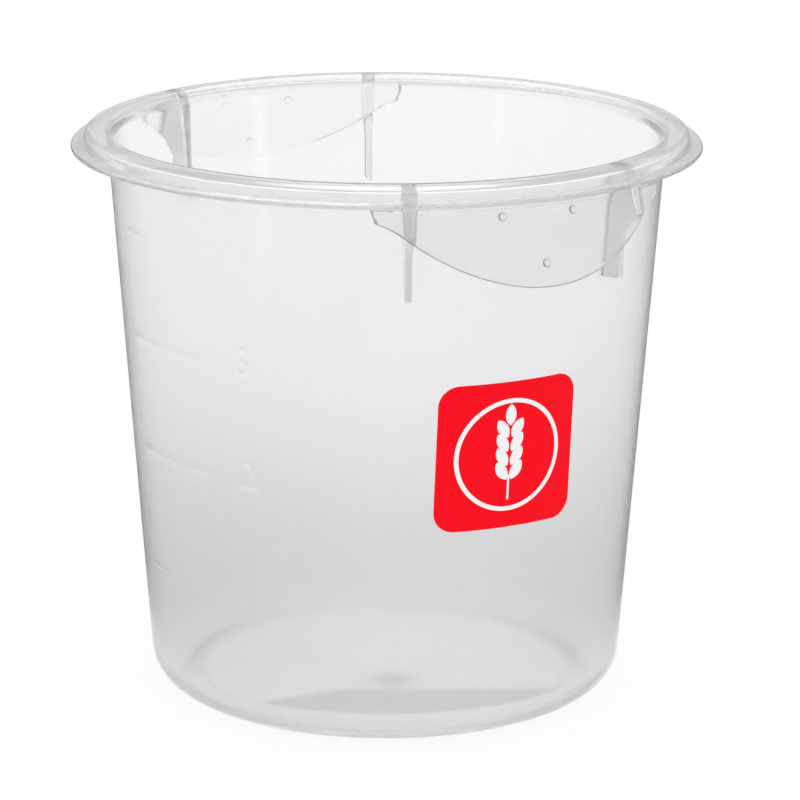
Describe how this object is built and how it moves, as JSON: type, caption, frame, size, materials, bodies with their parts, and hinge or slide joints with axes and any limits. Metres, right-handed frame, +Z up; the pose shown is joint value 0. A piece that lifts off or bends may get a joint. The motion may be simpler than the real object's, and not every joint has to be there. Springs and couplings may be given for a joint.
{
  "type": "food storage container",
  "caption": "Round tapered food storage and dough proofing container in milky clear plastic, open top, lipped rim, two flared grip aprons and a square label.",
  "frame": {"origin": "centre of the base, on the surface that it stands on", "axes": "+Z up through the open mouth, label and one grip apron on the -Y side, other apron on +Y"},
  "size_m": [0.216, 0.2326, 0.1965],
  "materials": {
    "clear_plastic": "smooth milky clear polypropylene, satin gloss",
    "label_red": "gloss printed film, vivid red",
    "label_white": "flat white print"
  },
  "bodies": {
    "root": {"floor": "clear_plastic", "foot_ring": "clear_plastic", "heel": "clear_plastic", "wall": "clear_plastic", "rim": "clear_plastic", "lid_lip": "clear_plastic", "front_grip": "clear_plastic", "rear_grip": "clear_plastic", "front_left_rib": "clear_plastic", "front_right_rib": "clear_plastic", "rear_left_rib": "clear_plastic", "rear_right_rib": "clear_plastic", "front_grip_bumps": "clear_plastic", "rear_grip_bumps": "clear_plastic", "left_scale_lines": "clear_plastic", "left_scale_numbers": "clear_plastic", "right_scale_lines": "clear_plastic", "right_scale_numbers": "clear_plastic", "gate_mark": "clear_plastic", "label_film": "label_red", "label_print": "label_white"}
  },
  "joints": []
}
